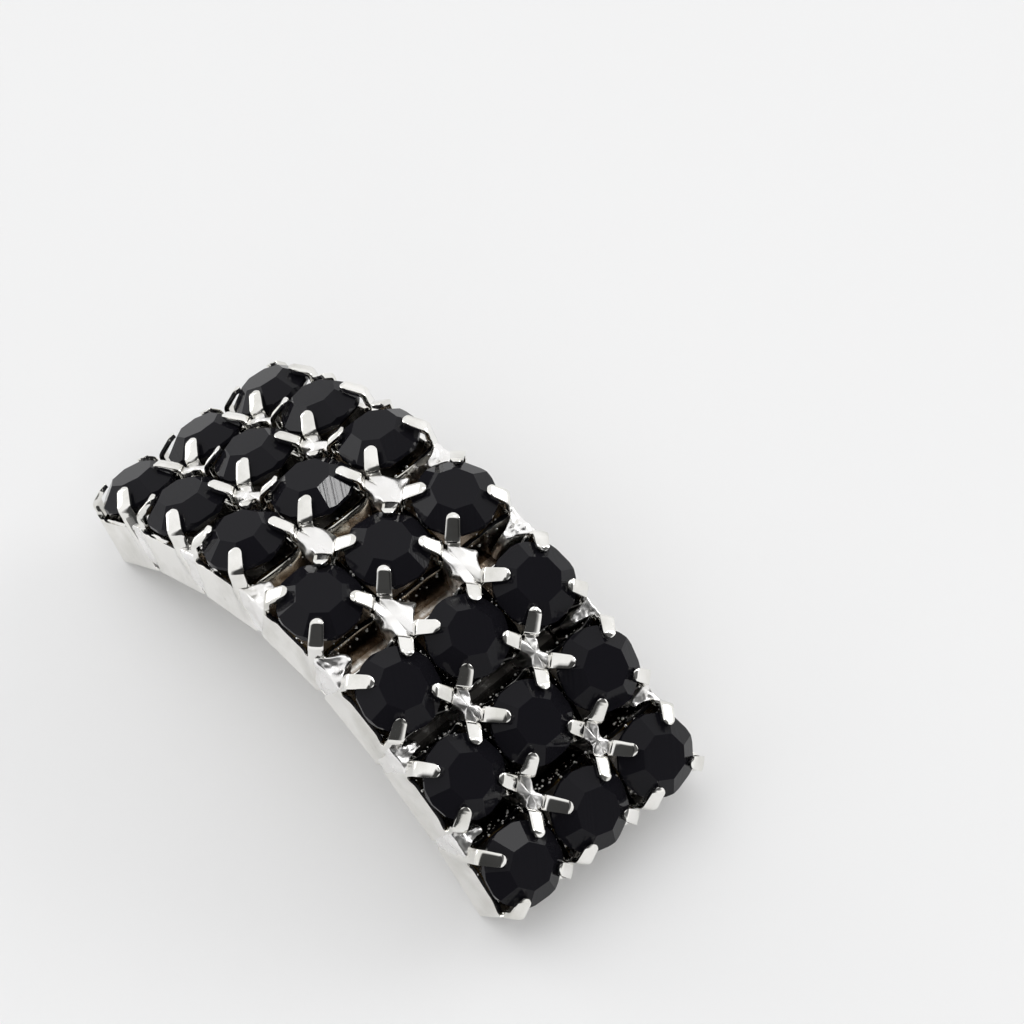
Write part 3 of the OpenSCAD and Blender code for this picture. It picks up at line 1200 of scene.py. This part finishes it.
class SLIDER_OT_crevices(bpy.types.Operator):
    """Measures how hidden the metal is, for the painted shade in its materials, and marks the rims
    for the grains
    """

    bl_idname = "slider.crevices"
    bl_label = "Crevices"

    def execute(self, context):
        arch = Arch(context.scene)
        pieces = [bpy.data.objects[name] for name in SHEET_PIECES]
        solder = [bpy.data.objects[name] for name in SOLDER_PIECES]
        stones = [node for name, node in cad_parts.items() if name.startswith("stone_")]
        verts, faces = [], []
        for item in pieces + solder + stones:
            start = len(verts)
            verts += [item.matrix_world @ v.co for v in item.data.vertices]
            faces += [[start + v for v in p.vertices] for p in item.data.polygons]
        tree = BVHTree.FromPolygons(verts, faces)
        ways = [Vector(way) for way in dome(RAYS)]
        for piece in pieces:
            mesh = piece.data
            hidden = [self.share(tree, v.co, v.normal, ways) for v in mesh.vertices]
            hidden = self.blurred(mesh, self.blurred(mesh, hidden))
            if piece.name == "claw_cups":
                # Less painted shade up the claws, above their roots
                heights = [arch.height(v.co) / MM for v in mesh.vertices]
                hidden = [part * (1 - 0.5 * smooth((height - CLAW_ROOT_H) / 0.3))
                          for part, height in zip(hidden, heights)]
                self.store(mesh, RIM, [abs(height - RIM_H) < RIM_HALF for height in heights])
            self.store(mesh, DEPTH, hidden)
        return {"FINISHED"}

    def store(self, mesh, name, values):
        """Stores a value for each vertex."""
        mesh.attributes.new(name, "FLOAT", "POINT").data.foreach_set("value", values)

    def share(self, tree, point, normal, ways):
        """Share of rays from a point that soon hit something."""
        turn = normal.to_track_quat("Z", "Y")
        start = point + normal * 0.02 * MM
        reach = RAY_LENGTH * MM
        hits = sum(1 for way in ways if tree.ray_cast(start, turn @ way, reach)[0] is not None)
        return hits / len(ways)

    def blurred(self, mesh, values):
        """Values averaged with those of the neighbouring vertices."""
        sums, counts = list(values), [1] * len(values)
        for edge in mesh.edges:
            first, second = edge.vertices
            sums[first] += values[second]
            sums[second] += values[first]
            counts[first] += 1
            counts[second] += 1
        return [total / count for total, count in zip(sums, counts)]


def grain_tree():
    """Geometry Nodes that scatter small grains along the hidden rims of the cups."""
    graph, value = new_tree("Solder grains", {
        "Cups": "Object", "Metal": "Material", "Radius": "Float", "Density": "Float", "Seed": "Int",
    })
    cups = graph.get("GeometryNodeObjectInfo", None, {"Object": value["Cups"]}, "Geometry")
    chosen = (graph.field(RIM, "FLOAT") > 0.5) * (graph.field(DEPTH, "FLOAT") > 0.5)
    points = graph.get("GeometryNodeDistributePointsOnFaces", None, {
        "Mesh": cups, "Selection": chosen, "Density": value["Density"], "Seed": value["Seed"]})
    ball = graph.get("GeometryNodeMeshIcoSphere", None, {
        "Radius": value["Radius"], "Subdivisions": 1})
    size = graph.random(0.3, 1.0, value["Seed"])
    placed = graph.get("GeometryNodeInstanceOnPoints", None, {
        "Points": points, "Instance": ball, "Scale": size ** 3})
    real = graph.get("GeometryNodeRealizeInstances", None, {"Geometry": placed})
    return end_tree(graph, real, value["Metal"])


class SLIDER_OT_grains(bpy.types.Operator):
    """Scatters grains of solder in the gaps"""

    bl_idname = "slider.grains"
    bl_label = "Solder grains"

    def execute(self, context):
        scene = context.scene
        solder = scene.slider_solder
        coat = bpy.data.materials["Solder"]
        grains = grown("solder_grains", grain_tree(), {
            "Cups": bpy.data.objects["claw_cups"], "Metal": coat, "Radius": solder.grain,
            "Density": solder.grains, "Seed": scene.slider_cup.seed,
        })
        smooth_faces(grains.data)
        finish_piece(grains, coat)
        return {"FINISHED"}


# Stones

class SLIDER_OT_stones(bpy.types.Operator):
    """Gives the stones their black glass and gold foil"""

    bl_idname = "slider.stones"
    bl_label = "Cut stones"

    def execute(self, context):
        scene = context.scene
        arch = Arch(scene)
        glass = {column: black_glass(scene, arch, column) for column in range(1, COLUMNS + 1)}
        for name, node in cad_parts.items():
            if name.startswith("stone_"):
                node.data.materials.clear()
                node.data.materials.append(glass[int(name[-1])])
        return {"FINISHED"}


# Stage

def card(name, size, place, aim, power, glossy=True, diffuse=True):
    """A soft rectangular light that looks at a point. Gloss or matt surfaces may not see it."""
    light = bpy.data.lights.new(name, "AREA")
    light.shape = "RECTANGLE"
    light.size, light.size_y = size
    light.energy = power
    made = linked(name, light)
    made.location = place
    way = Vector(aim) - Vector(place)
    made.rotation_euler = way.to_track_quat("-Z", "Y").to_euler()
    made.visible_glossy = glossy
    made.visible_diffuse = diffuse


class SLIDER_OT_stage(bpy.types.Operator):
    """Sets up the floor, the light and the camera"""

    bl_idname = "slider.stage"
    bl_label = "Stage"

    def execute(self, context):
        scene = context.scene
        stage = scene.slider_stage
        self.floor(stage)
        self.world(scene)
        self.lights()
        self.camera(scene, stage)
        scene.view_settings.view_transform = "Standard"
        return {"FINISHED"}

    def floor(self, stage):
        """A wide pale floor."""
        bm = bmesh.new()
        bmesh.ops.create_grid(bm, x_segments=8, y_segments=8, size=1.5)
        made = mesh_object("floor", bm)
        material, graph, shader = new_material("Pale floor")
        place = graph.get("ShaderNodeTexCoord", output="Object")
        cloud = graph.noise(place, scale=30, detail=2)
        dull = [part * 0.985 for part in stage.floor]
        graph.fill(shader, {
            "Base Color": graph.mix(cloud, rgba(stage.floor), rgba(dull)),
            "Roughness": 0.7,
            "Specular IOR Level": 0.2,
        })
        made.data.materials.append(material)

    def world(self, scene):
        """A pale studio, dark on the camera's side and in one more direction."""
        world = bpy.data.worlds.new("Studio")
        world.use_nodes = True
        scene.world = world
        graph = Graph(world.node_tree)
        way = graph.get("ShaderNodeTexCoord", output="Generated")
        split = graph.node("ShaderNodeSeparateXYZ", None, {"Vector": way})
        up = Value(graph, split.outputs["Z"])
        shade = graph.ramp(up, (0.0, 0.9), (0.3, 1.0), (0.7, 0.95), (1.0, 1.0))
        flat = graph.vector("MULTIPLY", way, (1, 1, 0.5))
        flat = graph.vector("NORMALIZE", flat)
        patches = (
            (flat, (0.6, -0.62, 0.5), 0.68, 0.84, 0.05),
            (way, (0.62, 0.3, 0.72), 0.85, 0.94, 0.12),
        )
        for vector, centre, start, end, dark in patches:
            near = graph.vector("DOT_PRODUCT", vector, centre, "Value")
            shade = shade * graph.ramp(near, (start, 1), (end, dark))
        graph.fill(world.node_tree.nodes["Background"], {"Color": shade, "Strength": 1.0})

    def lights(self):
        """Two cards above that only matt surfaces see, one at the left and one at the right
        that all see, and two small ones that only glossy surfaces see, each for one facet."""
        aim = (0, 0, 0.005)
        card("Ceiling", (0.7, 0.7), (-0.05, -0.08, 0.5), aim, power=0.73, glossy=False)
        card("Fill", (0.4, 0.4), (0.3, -0.3, 0.3), aim, power=0.65, glossy=False)
        card("Left card", (0.3, 0.16), (-0.4, -0.14, 0.1), aim, power=0.28)
        card("Right card", (0.3, 0.2), (0.1, 0.4, 0.2), aim, power=0.4)
        card("Window", (0.032, 0.032), (0.0834, 0.2667, 0.4254), (-0.0048, 0.0003, 0.0116),
             power=0.13, diffuse=False)
        card("Glow", (0.07, 0.05), (-0.1425, 0.1898, 0.4389), (0.0149, -0.0047, 0.006),
             power=0.055, diffuse=False)

    def camera(self, scene, stage):
        """The camera at the photograph's angle."""
        turn, rise = stage.azimuth, stage.elevation
        back = Vector((math.sin(turn) * math.cos(rise), -math.cos(turn) * math.cos(rise),
                       math.sin(rise)))
        right = Vector((math.cos(turn), math.sin(turn), 0))
        up = back.cross(right)
        camera = bpy.data.cameras.new("Camera")
        camera.lens = stage.lens
        camera.sensor_width = 36
        camera.clip_start, camera.clip_end = 0.01, 10
        made = linked("Camera", camera)
        aim = Vector((0, 0, stage.aim_height))
        place = aim + back * stage.distance + right * stage.right + up * stage.up
        axes = Matrix((right, up, back)).transposed().to_4x4()
        made.matrix_world = Matrix.Translation(place) @ axes
        scene.camera = made


# Add-on

class SLIDER_PT_panel(bpy.types.Panel):
    """The slider's sizes and steps"""

    bl_label = "Ribbon slider"
    bl_space_type = "VIEW_3D"
    bl_region_type = "UI"
    bl_category = "Slider"

    def draw(self, context):
        for name in GROUPS:
            group = getattr(context.scene, name)
            box = self.layout.box()
            box.label(text=name.split("_")[1].capitalize())
            for item in group.bl_rna.properties:
                if item.identifier not in ("rna_type", "name"):
                    box.prop(group, item.identifier)
        for operator in OPERATORS:
            self.layout.operator(operator.bl_idname)


GROUPS = {
    "slider_arch": SliderArch,
    "slider_cup": SliderCup,
    "slider_solder": SliderSolder,
    "slider_stone": SliderStone,
    "slider_back": SliderBack,
    "slider_finish": SliderFinish,
    "slider_stage": SliderStage,
}
OPERATORS = (
    SLIDER_OT_cups, SLIDER_OT_solder, SLIDER_OT_sheet, SLIDER_OT_plate, SLIDER_OT_bar,
    SLIDER_OT_crevices, SLIDER_OT_grains, SLIDER_OT_stones, SLIDER_OT_stage,
)
CLASSES = (*GROUPS.values(), *OPERATORS, SLIDER_PT_panel)


def register():
    """Registers the classes and hangs their settings on the scene."""
    for item in CLASSES:
        bpy.utils.register_class(item)
    for name, group in GROUPS.items():
        setattr(bpy.types.Scene, name, bpy.props.PointerProperty(type=group))


def unregister():
    """Takes them away again."""
    for name in GROUPS:
        delattr(bpy.types.Scene, name)
    for item in reversed(CLASSES):
        bpy.utils.unregister_class(item)


def main():
    """Makes every piece and the stage."""
    register()
    bpy.ops.slider.cups()
    bpy.ops.slider.solder()
    bpy.ops.slider.sheet()
    bpy.ops.slider.plate()
    bpy.ops.slider.bar()
    bpy.ops.slider.crevices()
    bpy.ops.slider.grains()
    bpy.ops.slider.stones()
    bpy.ops.slider.stage()


if __name__ == "__main__":
    main()
